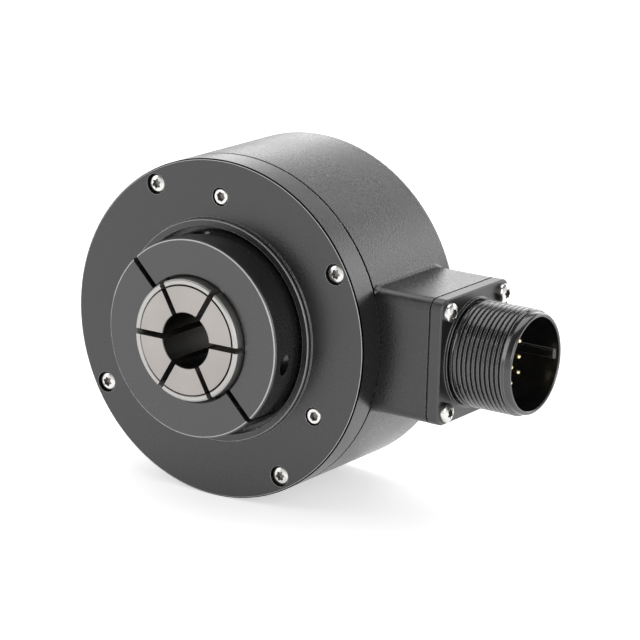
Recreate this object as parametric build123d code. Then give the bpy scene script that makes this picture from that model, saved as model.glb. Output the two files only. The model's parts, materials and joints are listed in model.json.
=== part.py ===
from build123d import *
import os
from math import cos, radians, sin

# Incremental rotary encoder with a hollow shaft, lying on its round side.
# Frame: +Y runs along the shaft from the clamp collar into the housing, +X points
# from the shaft to the cable connector, +Z is up. The origin is on the shaft axis
# in the plane of the cover's front face. Millimetres throughout.

# Clearances
turn_gap = 0.05        # radial gap of a turning or sliding fit
seat_gap = 0.02        # radial gap of a piece pressed or clamped on its seat
thread_gap = 0.05      # radial gap of a screw in its tapped hole
run_out = 1.0          # a cutter's run beyond the face it goes through
through_gap = 0.25     # radial gap of a screw in its clearance hole

# Casing
body_d = 93.0          # outside diameter of the cover and the housing
cover_t = 8.4          # cover, front face to seam
body_length = 47.0     # cover front face to the housing's rear face
edge_break = 0.4       # chamfer on the cover's front edge
seam_w = 0.35          # groove in the housing where the cover meets it
seam_depth = 0.5
rear_round = 1.0       # rounding of the housing's rear edge
boss_over = 0.3        # raised ring on the cover, its radius over the hub's
boss_h = 1.75
boss_break = 0.3
recess_y = 1.4         # floor of the recess inside that ring, where the collar turns
recess_gap = 1.2       # radial gap around the collar there
wall_t = 3.85          # housing side wall
rear_wall_t = 4.0
rim_t = 8.2            # thick front rim of the housing that takes the cover screws
rim_depth = 7.6

# Bearing hub inside the cover
hub_wall = 6.7         # bearing seat to the hub's outside
hub_inset = 3.2        # circuit board's posts to the hub's outside
bearing_section = 6.0  # radial height of the bearings, inner seat to outer seat
bearing_w = 7.0
bearing_lip = 1.5      # radial height of the lip the front bearing rests on
lip_y = 4.4            # where that lip starts
lip_t = 1.0
land_t = 1.85          # radial thickness of each race beside its groove
ball_d = 3.5
ball_count = 8
ball_gap = 0.05
track_sides = 8        # flats of the ball track's section, all around the ball
cage_t = 1.0
cage_w = 5.4
spigot_h = 2.0         # step on the back of the cover that enters the housing
spigot_gap = 0.2

# Seals
seal_groove_w = 1.8
seal_groove_depth = 1.5
seal_groove_wall = 0.6  # between the spigot and the groove
seal_side_gap = 0.1
front_seal_inset = 0.3  # how far the seal's face sits behind the recess floor
lip_seal_w = 3.5
rear_seal_h = 5.5      # radial height of the rear seal

# Hollow shaft and its reducing insert
nose_step = 0.9        # bearing journal down to the slotted end under the collar
nose_step_gap = 0.3    # collar's back to that step
nose_wall = 1.5        # wall of that slotted end
shaft_nose = 14.5      # how far the shaft stands in front of the cover
shaft_break = 0.4
rear_step = 0.5        # bearing journal down to the rear journal
shaft_end_inset = 0.7  # rear end of the shaft, inside the housing's rear face
shoulder_h = 1.5       # shoulder over the bearing journal
insert_bore = 15.0
insert_length = 34.0
insert_gap = 0.08
slot_count = 6
slot_w = 1.6
shaft_slot_length = 11.5
insert_slot_length = 27.0

# Two-piece clamp collar
collar_wall = 10.6     # radial width of the collar
collar_t = 12.4
collar_front = 12.0    # collar's front face, in front of the cover
collar_break = 0.6
collar_bore_break = 0.9
collar_rear_break = 0.4
split_gap = 1.6
split_angle = 135.0    # direction of the split, from +X towards +Z
clamp_clear = 4.7      # clamp screw axis to the collar's bore, along the split
clamp_stagger = 1.8    # the two clamp screws sit this far each side of the collar's middle
clamp_seat = 7.5       # screw head seat to the split's middle
clamp_thread = 2.0
clamp_head_d = 3.3
clamp_head_h = 2.0
clamp_pocket_d = 3.7
clamp_grip = 9.5       # thread end beyond the split's middle
clamp_hole_spare = 1.5

# Screws in the cover's face
rim_screw_inset = 3.9  # outer screws' circle to the outside diameter
rim_screw_first = 30.0
rim_screw_count = 4
rim_screw_thread = 2.6
rim_head_d = 5.2
dome_share = 0.55      # part of a button head's height that its crown takes
crown_share = 0.2      # part of its diameter that the crown's slope takes on each side
rim_head_h = 1.9
rim_pocket_d = 5.8
rim_pocket_depth = 2.1
rim_screw_grip = 5.4   # thread length inside the housing
rim_hole_spare = 1.2
tether_inset = 1.6     # inner screws' circle to the spigot; they take a tether strap
tether_angles = (90.0, -30.0)
tether_thread = 2.8
tether_head_d = 4.6
tether_head_h = 2.4
tether_pocket_d = 5.1
tether_pocket_depth = 2.6
tether_grip = 5.4

# Bearing retainer
retainer_t = 1.2
retainer_clear = 0.25  # retainer bore outside the outer race's land
retainer_screw_count = 3
retainer_screw_first = 60.0
small_thread = 2.0     # screws of the retainer, the disc and the circuit board
small_head_d = 3.4
small_head_h = 1.0
small_grip = 5.0

# Retaining ring on the shaft
circlip_t = 1.2
circlip_groove = 0.8   # groove depth
circlip_wall = 2.2
circlip_play = 0.05
circlip_opening = 40.0  # degrees

# Code disc and its hub
disc_hub_gap = 1.9     # hub's end to the disc hub
disc_hub_length = 3.6
disc_neck_h = 5.0      # disc hub's neck, flange, spigot, clamp ring and screw circle,
disc_flange_h = 8.5    # all as radial heights over the bearing journal
disc_spigot_h = 2.5
clamp_ring_h = 8.0
disc_screw_h = 5.7
disc_flange_t = 1.2
disc_neck_length = 1.2
disc_inset = 3.4       # board's posts to the disc's edge
disc_t = 0.8
clamp_ring_t = 0.8
disc_screw_count = 3
disc_screw_grip = 0.9

# Circuit board and optical head
board_room = 5.6       # board's rear face to the rear wall
disc_room = 5.9        # disc hub's front to the board
board_t = 1.6
board_clear = 1.5      # board to shaft, and board to housing rim
board_edge_gap = 0.4
post_inset = 4.5       # posts to the board's edge
post_across = 4.3      # hexagon, flat to flat
post_angles = (30.0, 150.0, 270.0)
head_angle = 90.0      # optical head's place around the disc
head_width = 12.0
head_back = 5.6        # optical head beyond the disc's edge
head_reach = 3.0       # how far in over the disc its arms reach
head_gap = 0.5         # arm to disc
head_edge_gap = 0.9    # head's back to the disc's edge
head_arm_t = 1.1
lamp_inset = 1.1       # lamp to the disc's edge
lamp_d = 2.6
eye_size = (3.6, 3.0)
eye_t = 0.2
header_size = (5.0, 2.6, 12.0)
header_inset = 8.9     # plug header to the board's edge
header_wall = 0.8
chip_size = (6.0, 1.4, 9.0)
chip_angle = 180.0

# Connector box on the side of the housing
box_reach = 14.5       # housing's side to the face that takes the connector
box_round = 3.2
box_root_round = 1.5
box_bore = 28.0
box_bore_inset = 8.0   # how far inside the rim the box's bore starts
box_root_clear = 0.1   # kept free of the root rounding beside the seam

# Circular connector
gasket_t = 0.6
gasket_inset = 0.4
plate_size = 34.0
plate_t = 3.2
plate_round = 3.0
plate_break = 0.3
plate_hole_spacing = 26.97
plate_screw_thread = 2.6
plate_head_d = 5.1
plate_head_h = 2.0
plate_screw_grip = 6.0
plate_hole_spare = 1.5
thread_d = 28.575
thread_start = 1.4     # plate face to the first crest
thread_length = 15.8
base_ring_d = 29.6
base_ring_h = 0.8
thread_relief = 0.4    # radial depth of the undercut before the thread, below the lead-in
nose_d = 27.3          # plain lead-in beyond the thread
nose_length = 1.8
nose_break = 0.5
socket_bore = 25.0
socket_floor = 2.4     # plate face to the insert's face
barrel_rear_d = 27.0
barrel_rear_length = 8.0
barrel_lip_d = 21.0
barrel_lip_t = 1.4
pin_d = 1.6
pin_reach = 9.8        # pins stand this far out of the insert
pin_tail = 3.2
pin_columns = (3, 4, 3)  # contacts in each column, across the shaft direction
pin_column_step = 3.8
pin_row_step = 4.3
key_w = 2.6
key_h = 0.9
key_inset = 1.2        # key's end, inside the rim
key_root = 0.5         # how far the key runs into the shell's wall

# Stations and radii that follow from the sizes above
body_r = body_d / 2
rim_inner_r = body_r - rim_t
inner_r = body_r - wall_t
spigot_r = rim_inner_r - spigot_gap
board_r = rim_inner_r - board_edge_gap
post_r = board_r - post_inset
hub_r = post_r - hub_inset
seat_r = hub_r - hub_wall
journal_r = seat_r - bearing_section
nose_r = journal_r - nose_step
bore_r = nose_r - nose_wall
rear_r = journal_r - rear_step
shoulder_r = journal_r + shoulder_h
rear_seal_r = rear_r + rear_seal_h
collar_r = nose_r + collar_wall
collar_back = collar_t - collar_front
recess_r = collar_r + recess_gap
clamp_offset = nose_r + clamp_clear
boss_r = hub_r + boss_over
rim_screw_r = body_r - rim_screw_inset
tether_r = spigot_r - tether_inset
pitch_r = (seat_r + journal_r) / 2
land_in = journal_r + land_t
land_out = seat_r - land_t
retainer_r = (seat_r + hub_r) / 2
retainer_bore_r = land_out + retainer_clear
disc_r = post_r - disc_inset
disc_spigot_r = journal_r + disc_spigot_h
disc_screw_r = journal_r + disc_screw_h
head_reach_r = disc_r - head_reach
head_back_r = disc_r + head_back
lamp_r = disc_r - lamp_inset
header_r = board_r - header_inset
shaft_end = body_length - shaft_end_inset
rear_wall_y = body_length - rear_wall_t
board_back = rear_wall_y - board_room
board_y = board_back - board_t
disc_hub_y = board_y - disc_room
disc_flange_y = disc_hub_y + disc_neck_length
disc_y = disc_flange_y + disc_flange_t
ring_y = disc_y + disc_t
hub_end = disc_hub_y - disc_hub_gap
rear_bearing_y = hub_end - bearing_w
bearing_y = lip_y + lip_t
circlip_y = hub_end + circlip_play
box_face = body_r + box_reach
box_y = cover_t + plate_size / 2
plate_x = box_face + gasket_t
plate_face = plate_x + plate_t
crest_x = plate_face + thread_start
nose_x = crest_x + thread_length
mouth_x = nose_x + nose_length
insert_x = plate_face + socket_floor
barrel_rear_x = plate_x - barrel_rear_length


def polar(radius, angle):
    """X and Z of a point at a radius and an angle from +X towards +Z."""
    return radius * cos(radians(angle)), radius * sin(radians(angle))


def turned(*profile):
    """Revolve a closed profile of (radius, station) points about the shaft axis."""
    return revolve(make_face(Polyline(*profile, close=True)), Axis.Y)


def ring(r_in, r_out, y0, y1):
    """Plain ring on the shaft axis."""
    return turned((r_in, y0), (r_out, y0), (r_out, y1), (r_in, y1))


def peg(radius, y0, y1, at_r=0.0, angle=0.0):
    """Cylinder along Y, its axis at a polar place."""
    x, z = polar(at_r, angle)
    rod = Cylinder(radius, y1 - y0, align=(Align.CENTER, Align.CENTER, Align.MIN))
    return Pos(x, y0, z) * Rot(-90, 0, 0) * rod


def rod_x(radius, x0, x1, y=box_y, z=0.0):
    """Cylinder along X."""
    rod = Cylinder(radius, x1 - x0, align=(Align.CENTER, Align.CENTER, Align.MIN))
    return Pos(x0, y, z) * Rot(0, 90, 0) * rod


def around(angle, shape):
    """Turn a shape made at angle zero to its place around the shaft axis."""
    return Rot(0, -angle, 0) * shape


def spread(count, first=0.0):
    """Even angles around the axis."""
    return [first + 360.0 / count * i for i in range(count)]


def screw(head_d, head_h, thread_d, grip, domed=False):
    """Screw along -Y, seat plane at zero, head towards -Y and thread towards +Y."""
    head = peg(head_d / 2, -head_h, 0)
    if domed:
        crown = head.edges().sort_by(Axis.Y)[0]
        head = chamfer(crown, head_h * dome_share, head_d * crown_share)
    return head + peg(thread_d / 2, 0, grip)


def rounded_block(size, x0, x1, corner):
    """Square block along X with its four long edges rounded, on the connector axis."""
    outline = Plane.YZ * RectangleRounded(size, size, corner)
    return Pos(x0, box_y, 0) * extrude(outline, x1 - x0)


def plate_corners():
    """Y and Z of the connector's four screws."""
    half = plate_hole_spacing / 2
    return [(box_y + sy * half, sz * half) for sy in (-1, 1) for sz in (-1, 1)]


def make_front_cover():
    """Cover with its raised ring, bearing hub, spigot and seal groove."""
    groove_in = spigot_r + seal_groove_wall
    groove_out = groove_in + seal_groove_w
    cover = turned(
        (seat_r, recess_y), (recess_r, recess_y), (recess_r, boss_break - boss_h),
        (recess_r + boss_break, -boss_h), (boss_r - boss_break, -boss_h), (boss_r, boss_break - boss_h),
        (boss_r, -boss_break), (boss_r + boss_break, 0), (body_r - edge_break, 0),
        (body_r, edge_break), (body_r, cover_t),
        (groove_out, cover_t), (groove_out, cover_t - seal_groove_depth),
        (groove_in, cover_t - seal_groove_depth), (groove_in, cover_t), (spigot_r, cover_t),
        (spigot_r, cover_t + spigot_h), (hub_r, cover_t + spigot_h), (hub_r, hub_end),
        (seat_r, hub_end), (seat_r, bearing_y), (seat_r - bearing_lip, bearing_y),
        (seat_r - bearing_lip, lip_y), (seat_r, lip_y),
    )
    for angle in spread(rim_screw_count, rim_screw_first):
        cover -= peg(rim_pocket_d / 2, -1, rim_pocket_depth, rim_screw_r, angle)
        cover -= peg(rim_screw_thread / 2 + through_gap, 0, cover_t + run_out, rim_screw_r, angle)
    for angle in tether_angles:
        cover -= peg(tether_pocket_d / 2, -1, tether_pocket_depth, tether_r, angle)
        depth = tether_pocket_depth + tether_grip + thread_gap
        cover -= peg(tether_thread / 2 + thread_gap, 0, depth, tether_r, angle)
    for angle in spread(retainer_screw_count, retainer_screw_first):
        depth = small_grip - retainer_t + run_out
        hole = peg(small_thread / 2 + thread_gap, hub_end - depth, hub_end + run_out, retainer_r, angle)
        cover -= hole
    return cover


def make_housing():
    """Cup with a thick front rim and a solid connector box blended into its side."""
    drum = turned(
        (0, cover_t), (body_r - seam_w, cover_t), (body_r, cover_t + seam_w),
        (body_r, body_length), (0, body_length),
    )
    drum = fillet(drum.edges().sort_by(Axis.Y)[-1], rear_round)
    shell = drum + rounded_block(plate_size, 0, box_face, box_round)
    roots = shell.edges().filter_by(lambda edge: is_box_root(edge))
    shell = fillet(roots, box_root_round)
    shell -= turned(
        (body_r - seam_depth, cover_t - run_out), (body_r, cover_t - run_out),
        (body_r, cover_t + seam_w), (body_r - seam_depth, cover_t + seam_w),
    )
    rim_end = cover_t + rim_depth
    shell -= turned(
        (0, cover_t - run_out), (rim_inner_r, cover_t - run_out), (rim_inner_r, rim_end), (inner_r, rim_end),
        (inner_r, rear_wall_y), (rear_seal_r, rear_wall_y),
        (rear_seal_r, body_length + run_out), (0, body_length + run_out),
    )
    shell -= rod_x(box_bore / 2, rim_inner_r - box_bore_inset, box_face + run_out)
    for angle in spread(rim_screw_count, rim_screw_first):
        depth = rim_screw_grip + rim_hole_spare
        radius = rim_screw_thread / 2 + thread_gap
        shell -= peg(radius, cover_t - run_out, cover_t + depth, rim_screw_r, angle)
    for y, z in plate_corners():
        depth = plate_screw_grip + plate_hole_spare
        shell -= rod_x(plate_screw_thread / 2 + thread_gap, box_face - depth, box_face + run_out, y, z)
    return shell


def is_box_root(edge):
    """True for an edge where the box leaves the round side, behind the front face."""
    middle = edge.position_at(0.5)
    radius = (middle.X ** 2 + middle.Z ** 2) ** 0.5
    on_side = abs(radius - body_r) < 0.02 and middle.X > body_r / 2
    within = abs(middle.Z) < plate_size / 2 + seat_gap
    behind = middle.Y > cover_t + seam_w + box_root_clear
    return on_side and within and behind and middle.Y < body_length - rear_round


def make_rim_screws():
    """Four button-head screws around the cover's edge."""
    grip = cover_t - rim_pocket_depth + rim_screw_grip
    one = Pos(0, rim_pocket_depth, 0) * screw(rim_head_d, rim_head_h, rim_screw_thread, grip, True)
    places = spread(rim_screw_count, rim_screw_first)
    return [Pos(*at_polar(rim_screw_r, angle)) * one for angle in places]


def at_polar(radius, angle):
    """Offset in the XZ plane for Pos."""
    x, z = polar(radius, angle)
    return x, 0, z


def make_tether_screws():
    """Two socket-head screws that a tether strap would take."""
    one = Pos(0, tether_pocket_depth, 0) * screw(tether_head_d, tether_head_h, tether_thread, tether_grip)
    return [Pos(*at_polar(tether_r, angle)) * one for angle in tether_angles]


def make_cover_seal():
    """Flat sealing ring in the cover's rear groove."""
    groove_in = spigot_r + seal_groove_wall
    r_in = groove_in + seal_side_gap
    r_out = groove_in + seal_groove_w - seal_side_gap
    return ring(r_in, r_out, cover_t - seal_groove_depth, cover_t)


def lip_seal(r_out, r_shaft, y0, y1):
    """Rotary lip seal: a case with a tapered lip that rides on the shaft."""
    lip_r = r_shaft + turn_gap
    case_r = (r_out + r_shaft) / 2
    middle = (y0 + y1) / 2
    edge = (y1 - y0) / 6
    return turned(
        (case_r, y0), (r_out - seat_gap, y0), (r_out - seat_gap, y1), (case_r, y1),
        (case_r, middle + 2 * edge), (lip_r, middle + edge), (lip_r, middle),
        (case_r - edge, middle - edge), (case_r - edge, y0),
    )


def make_front_seal():
    """Lip seal in front of the front bearing."""
    return lip_seal(seat_r, journal_r, recess_y + front_seal_inset, lip_y)


def make_rear_seal():
    """Lip seal in the housing's rear wall."""
    middle = (rear_wall_y + body_length) / 2
    half = lip_seal_w / 2
    return lip_seal(rear_seal_r, rear_r, middle - half, middle + half)


def race_groove(y_mid):
    """Ring that cuts the ball track into a race, with straight flanks around the ball."""
    inner_r = ball_d / 2 + ball_gap
    section = RegularPolygon(inner_r, track_sides, major_radius=False, rotation=180 / track_sides)
    return revolve(Pos(pitch_r, y_mid) * section, Axis.Y)


def make_inner_race(y0):
    """Inner race, seated on the shaft's journal."""
    race = ring(journal_r + seat_gap, land_in, y0, y0 + bearing_w)
    return race - race_groove(y0 + bearing_w / 2)


def make_outer_race(y0):
    """Outer race, seated in the cover's hub."""
    race = ring(land_out, seat_r - seat_gap, y0, y0 + bearing_w)
    return race - race_groove(y0 + bearing_w / 2)


def make_balls(y0):
    """Balls of one bearing, each a solid of its own."""
    middle = y0 + bearing_w / 2
    return [around(angle, Pos(pitch_r, middle, 0) * Sphere(ball_d / 2)) for angle in spread(ball_count)]


def make_cage(y0):
    """Cage ring with one square window for each ball."""
    middle = y0 + bearing_w / 2
    cage = ring(pitch_r - cage_t / 2, pitch_r + cage_t / 2, middle - cage_w / 2, middle + cage_w / 2)
    window = Pos(pitch_r, middle, 0) * Box(4 * cage_t, ball_d + 2 * ball_gap, ball_d + 2 * ball_gap)
    for angle in spread(ball_count):
        cage -= around(angle, window)
    return cage


def make_outer_spacer():
    """Spacer between the outer races."""
    return ring(land_out, seat_r - seat_gap, bearing_y + bearing_w, rear_bearing_y)


def make_inner_spacer():
    """Spacer between the inner races."""
    return ring(journal_r + seat_gap, land_in, bearing_y + bearing_w, rear_bearing_y)


def make_bearing_retainer():
    """Plate on the end of the hub that holds the outer races in."""
    back = hub_end + retainer_t
    plate = ring(retainer_bore_r, hub_r, hub_end, back)
    for angle in spread(retainer_screw_count, retainer_screw_first):
        plate -= peg(small_thread / 2 + through_gap, hub_end - run_out, back + run_out, retainer_r, angle)
    return plate


def back_screw(seat_y, grip):
    """Small screw that goes in from the rear: head behind the seat plane."""
    return Pos(0, seat_y, 0) * Rot(0, 0, 180) * screw(small_head_d, small_head_h, small_thread, grip)


def make_retainer_screws():
    """Three screws of the bearing retainer."""
    one = back_screw(hub_end + retainer_t, small_grip)
    places = spread(retainer_screw_count, retainer_screw_first)
    return [Pos(*at_polar(retainer_r, angle)) * one for angle in places]


def slot_cutter(r_out, y0, y1):
    """Slots through the front end of a sleeve, all cut through its middle."""
    blade = Box(r_out + run_out, y1 - y0, slot_w, align=(Align.MIN, Align.MIN, Align.CENTER))
    return [around(angle, Pos(0, y0, 0) * blade) for angle in spread(slot_count)]


def make_hollow_shaft():
    """Hollow shaft: slotted nose, shoulder, bearing journal and rear journal."""
    step_y = collar_back + nose_step_gap
    groove_r = journal_r - circlip_groove
    groove_end = circlip_y + circlip_t + circlip_play
    hub_back = disc_hub_y + disc_hub_length
    shaft = turned(
        (bore_r + shaft_break / 2, -shaft_nose), (nose_r - shaft_break, -shaft_nose),
        (nose_r, shaft_break - shaft_nose), (nose_r, step_y), (journal_r, step_y),
        (journal_r, lip_y), (shoulder_r, lip_y), (shoulder_r, bearing_y),
        (journal_r, bearing_y), (journal_r, hub_end), (groove_r, hub_end),
        (groove_r, groove_end), (journal_r, groove_end), (journal_r, hub_back),
        (rear_r, hub_back), (rear_r, shaft_end - shaft_break), (rear_r - shaft_break, shaft_end),
        (bore_r, shaft_end), (bore_r, shaft_break / 2 - shaft_nose),
    )
    for blade in slot_cutter(nose_r, -shaft_nose - run_out, shaft_slot_length - shaft_nose):
        shaft -= blade
    return shaft


def make_bore_insert():
    """Slotted sleeve that reduces the shaft's bore to the driven shaft's size."""
    outer = bore_r - insert_gap
    inner = insert_bore / 2
    edge = shaft_break / 2
    insert = turned(
        (inner, edge - shaft_nose), (inner + edge, -shaft_nose), (outer - edge, -shaft_nose),
        (outer, edge - shaft_nose), (outer, insert_length - shaft_nose),
        (inner, insert_length - shaft_nose),
    )
    for blade in slot_cutter(outer, -shaft_nose - run_out, insert_slot_length - shaft_nose):
        insert -= blade
    return insert


def collar_ring():
    """Whole clamp collar before it is split."""
    bore = nose_r + seat_gap
    return turned(
        (bore + collar_bore_break, -collar_front), (collar_r - collar_break, -collar_front),
        (collar_r, collar_break - collar_front), (collar_r, collar_back - collar_rear_break),
        (collar_r - collar_rear_break, collar_back), (bore, collar_back),
        (bore, collar_bore_break - collar_front),
    )


def clamp_frame(shape, offset):
    """Put a shape made along +Z, split plane at zero, at a clamp screw's place."""
    side = 1 if offset > 0 else -1
    y = collar_t / 2 - collar_front + side * clamp_stagger
    return around(split_angle - 90, Pos(0, y, offset) * Rot(0, 90, 0) * shape)


def along(radius, low, high):
    """Cylinder along Z from low to high."""
    return Pos(0, 0, low) * Cylinder(radius, high - low, align=(Align.CENTER, Align.CENTER, Align.MIN))


def make_collar_half(side):
    """One half of the collar: side 1 takes the screw heads, side -1 the threads."""
    size = 4 * collar_r
    half = Box(size, size, size, align=(Align.MIN, Align.CENTER, Align.CENTER))
    shift = split_gap / 2 if side > 0 else -split_gap / 2 - size
    half = collar_ring() & around(split_angle - 90, Pos(shift, 0, 0) * half)
    for offset in (-clamp_offset, clamp_offset):
        if side > 0:
            half -= clamp_frame(along(clamp_pocket_d / 2, clamp_seat, 2 * collar_r), offset)
            half -= clamp_frame(along(clamp_thread / 2 + through_gap, 0, clamp_seat + run_out), offset)
        else:
            end = clamp_grip + clamp_hole_spare
            half -= clamp_frame(along(clamp_thread / 2 + thread_gap, -end, 0), offset)
    return half


def make_clamp_screws():
    """Two socket-head screws across the collar's split."""
    one = along(clamp_head_d / 2, clamp_seat, clamp_seat + clamp_head_h)
    one += along(clamp_thread / 2, -clamp_grip, clamp_seat)
    return [clamp_frame(one, offset) for offset in (-clamp_offset, clamp_offset)]


def make_retaining_ring():
    """Open ring in the shaft's groove, behind the rear bearing."""
    inner = journal_r - circlip_groove + seat_gap
    clip = ring(inner, inner + circlip_wall, circlip_y, circlip_y + circlip_t)
    gap = Box(journal_r * 2, circlip_t * 3, 2 * inner * sin(radians(circlip_opening / 2)),
              align=(Align.MIN, Align.CENTER, Align.CENTER))
    return clip - around(head_angle, Pos(0, circlip_y, 0) * gap)


def make_disc_hub():
    """Hub that carries the code disc on the shaft."""
    bore = journal_r + seat_gap
    end = disc_hub_y + disc_hub_length
    neck_r = journal_r + disc_neck_h
    flange_r = journal_r + disc_flange_h
    hub = turned(
        (bore, disc_hub_y), (neck_r, disc_hub_y), (neck_r, disc_flange_y),
        (flange_r, disc_flange_y), (flange_r, disc_y),
        (disc_spigot_r, disc_y), (disc_spigot_r, end), (bore, end),
    )
    for angle in spread(disc_screw_count):
        radius = small_thread / 2 + thread_gap
        hub -= peg(radius, disc_flange_y - run_out, disc_y + run_out, disc_screw_r, angle)
    return hub


def disc_plate(r_out, y0, y1):
    """Flat ring on the disc hub's spigot, with the disc screws' holes."""
    plate = ring(disc_spigot_r + turn_gap, r_out, y0, y1)
    for angle in spread(disc_screw_count):
        plate -= peg(small_thread / 2 + through_gap, y0 - run_out, y1 + run_out, disc_screw_r, angle)
    return plate


def make_code_disc():
    """Glass code disc."""
    return disc_plate(disc_r, disc_y, ring_y)


def make_disc_clamp_ring():
    """Ring that holds the disc against its hub."""
    return disc_plate(journal_r + clamp_ring_h, ring_y, ring_y + clamp_ring_t)


def make_disc_screws():
    """Three small screws through the clamp ring and the disc."""
    one = back_screw(ring_y + clamp_ring_t, clamp_ring_t + disc_t + disc_screw_grip)
    return [Pos(*at_polar(disc_screw_r, angle)) * one for angle in spread(disc_screw_count)]


def make_board_posts():
    """Hexagon posts from the cover's back to the circuit board."""
    start = cover_t + spigot_h
    outline = Plane.XZ * RegularPolygon(post_across / 2, 6, major_radius=False)
    bar = Pos(0, board_y, 0) * extrude(outline, board_y - start)
    bar -= peg(small_thread / 2 + thread_gap, board_y - small_grip, board_y + run_out)
    return [Pos(*at_polar(post_r, angle)) * bar for angle in post_angles]


def make_circuit_board():
    """Round board around the shaft's rear end."""
    board = ring(rear_r + board_clear, board_r, board_y, board_back)
    for angle in post_angles:
        board -= peg(small_thread / 2 + through_gap, board_y - run_out, board_back + run_out, post_r, angle)
    return board


def make_board_screws():
    """Three screws that hold the board on its posts."""
    one = back_screw(board_back, small_grip)
    return [Pos(*at_polar(post_r, angle)) * one for angle in post_angles]


def make_optical_head():
    """Block on the board that reaches over the disc's edge on both sides."""
    front = disc_y - head_gap
    back = ring_y + head_gap
    edge = disc_r + head_edge_gap
    outline = Polyline(
        (head_reach_r, front - head_arm_t), (head_back_r, front - head_arm_t),
        (head_back_r, board_y), (head_reach_r, board_y), (head_reach_r, back),
        (edge, back), (edge, front), (head_reach_r, front), close=True,
    )
    block = Pos(0, 0, -head_width / 2) * extrude(make_face(outline), head_width)
    block -= peg(lamp_d / 2 + turn_gap, front - head_arm_t - run_out, front + turn_gap, lamp_r, 0)
    return around(head_angle, block)


def make_lamp():
    """Light source in the head's front arm."""
    front = disc_y - head_gap
    return peg(lamp_d / 2, front - head_arm_t, front, lamp_r, head_angle)


def make_light_sensor():
    """Light sensor chip on the head's rear arm, facing the disc."""
    chip = Box(eye_size[0], eye_t, eye_size[1], align=(Align.CENTER, Align.MAX, Align.CENTER))
    return around(head_angle, Pos(lamp_r, ring_y + head_gap, 0) * chip)


def make_board_header():
    """Plug header on the board's rear, beside the connector box."""
    block = Box(*header_size, align=(Align.CENTER, Align.MIN, Align.CENTER))
    block = Pos(header_r, board_back, 0) * block
    width = header_size[0] - 2 * header_wall
    length = header_size[2] - 2 * header_wall
    pocket = Box(width, header_size[1], length, align=(Align.CENTER, Align.MIN, Align.CENTER))
    return block - Pos(header_r, board_back + header_wall, 0) * pocket


def make_driver_chip():
    """Line driver on the board's rear."""
    chip = Box(*chip_size, align=(Align.CENTER, Align.MIN, Align.CENTER))
    return around(chip_angle, Pos((board_r + rear_r) / 2, board_back, 0) * chip)


def make_connector_gasket():
    """Gasket between the box and the connector's plate."""
    size = plate_size - 2 * gasket_inset
    gasket = rounded_block(size, box_face, plate_x, plate_round)
    gasket -= rod_x(box_bore / 2, box_face - run_out, plate_x + run_out)
    for y, z in plate_corners():
        gasket -= rod_x(plate_screw_thread / 2 + through_gap, box_face - run_out, plate_x + run_out, y, z)
    return gasket


def make_connector_shell():
    """Square plate with its threaded barrel, socket bore and key."""
    plate = rounded_block(plate_size, plate_x, plate_face, plate_round)
    plate = chamfer(plate.faces().sort_by(Axis.X)[-1].edges(), plate_break)
    shell = plate + rod_x(base_ring_d / 2, plate_face, plate_face + base_ring_h)
    shell += rod_x(nose_d / 2 - thread_relief, plate_face, crest_x)
    shell += rod_x(thread_d / 2, crest_x, nose_x)
    nose = rod_x(nose_d / 2, nose_x, mouth_x)
    shell += chamfer(nose.edges().sort_by(Axis.X)[-1], nose_break)
    shell += rod_x(barrel_rear_d / 2, barrel_rear_x, plate_x)
    shell -= rod_x(socket_bore / 2, barrel_rear_x + barrel_lip_t, mouth_x + run_out)
    shell -= rod_x(barrel_lip_d / 2, barrel_rear_x - run_out, mouth_x)
    for y, z in plate_corners():
        shell -= rod_x(plate_screw_thread / 2 + through_gap, plate_x - run_out, plate_face + run_out, y, z)
    key_length = mouth_x - key_inset - insert_x
    key = Box(key_length, key_h + key_root, key_w, align=(Align.MIN, Align.MAX, Align.CENTER))
    return shell + Pos(insert_x, box_y + socket_bore / 2 + key_root, 0) * key


def pin_places():
    """Y and Z offsets of the contacts, column by column."""
    places = []
    for column, count in enumerate(pin_columns):
        y = (column - (len(pin_columns) - 1) / 2) * pin_column_step
        places += [(y, (row - (count - 1) / 2) * pin_row_step) for row in range(count)]
    return places


def make_connector_insert():
    """Round block that holds the contacts."""
    start = barrel_rear_x + barrel_lip_t
    block = rod_x(socket_bore / 2 - turn_gap, start, insert_x)
    for y, z in pin_places():
        block -= rod_x(pin_d / 2 + seat_gap, start - run_out, insert_x + run_out, box_y + y, z)
    return block


def make_connector_pins():
    """Ten round contacts."""
    start = barrel_rear_x + barrel_lip_t - pin_tail
    pin = rod_x(pin_d / 2, start, insert_x + pin_reach)
    return [Pos(0, y, z) * pin for y, z in pin_places()]


def make_connector_screws():
    """Four button-head screws at the plate's corners."""
    grip = plate_t + gasket_t + plate_screw_grip
    one = screw(plate_head_d, plate_head_h, plate_screw_thread, grip, True)
    turned_in = Rot(0, 0, 90) * one
    return [Pos(plate_face, y, z) * turned_in for y, z in plate_corners()]


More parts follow.
